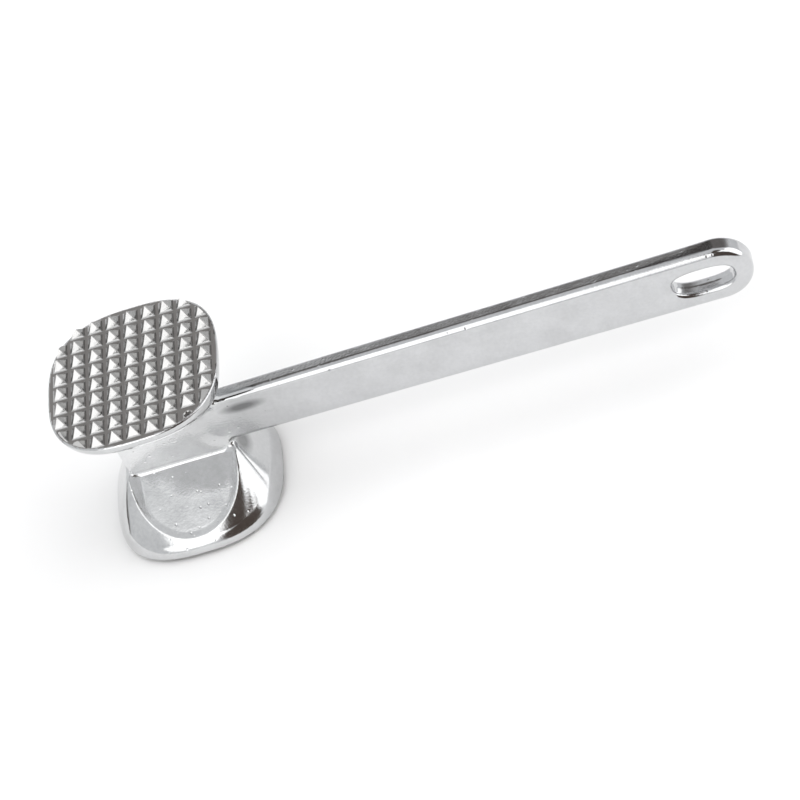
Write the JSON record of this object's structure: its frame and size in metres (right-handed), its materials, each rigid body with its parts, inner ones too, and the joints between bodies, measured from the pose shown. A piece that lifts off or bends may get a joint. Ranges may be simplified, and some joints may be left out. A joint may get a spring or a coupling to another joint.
{
  "type": "meat mallet",
  "caption": "Hand mallet for tenderising meat: a waisted head with a coarse and a fine tooth plate, and a flat handle with a slotted hanging eye.",
  "frame": {"origin": "middle of the plane through the tips of the fine teeth, which the mallet stands on", "axes": "+Z along the striking axis from the fine face to the coarse face, +X along the handle from the head to the hanging eye, -Y and +Y out of the handle's broad faces"},
  "size_m": [0.2335, 0.0602, 0.0663],
  "materials": {
    "coarse_face": "as-cast, matt grey between the teeth and bright on the tooth flanks",
    "fine_face": "as-cast, matt grey between the teeth and bright on the tooth flanks",
    "polished_casting": "polished die casting with faint pits and soft waves",
    "handle_casting": "satin-polished die casting with a fine parting line and faint pits"
  },
  "bodies": {
    "root": {"coarse_tooth_plate": "coarse_face", "fine_tooth_plate": "fine_face", "coarse_side_flange": "polished_casting", "fine_side_flange": "polished_casting", "head_web": "polished_casting", "handle_neck": "handle_casting", "handle_bar": "handle_casting", "hanging_eye": "handle_casting"}
  },
  "joints": []
}
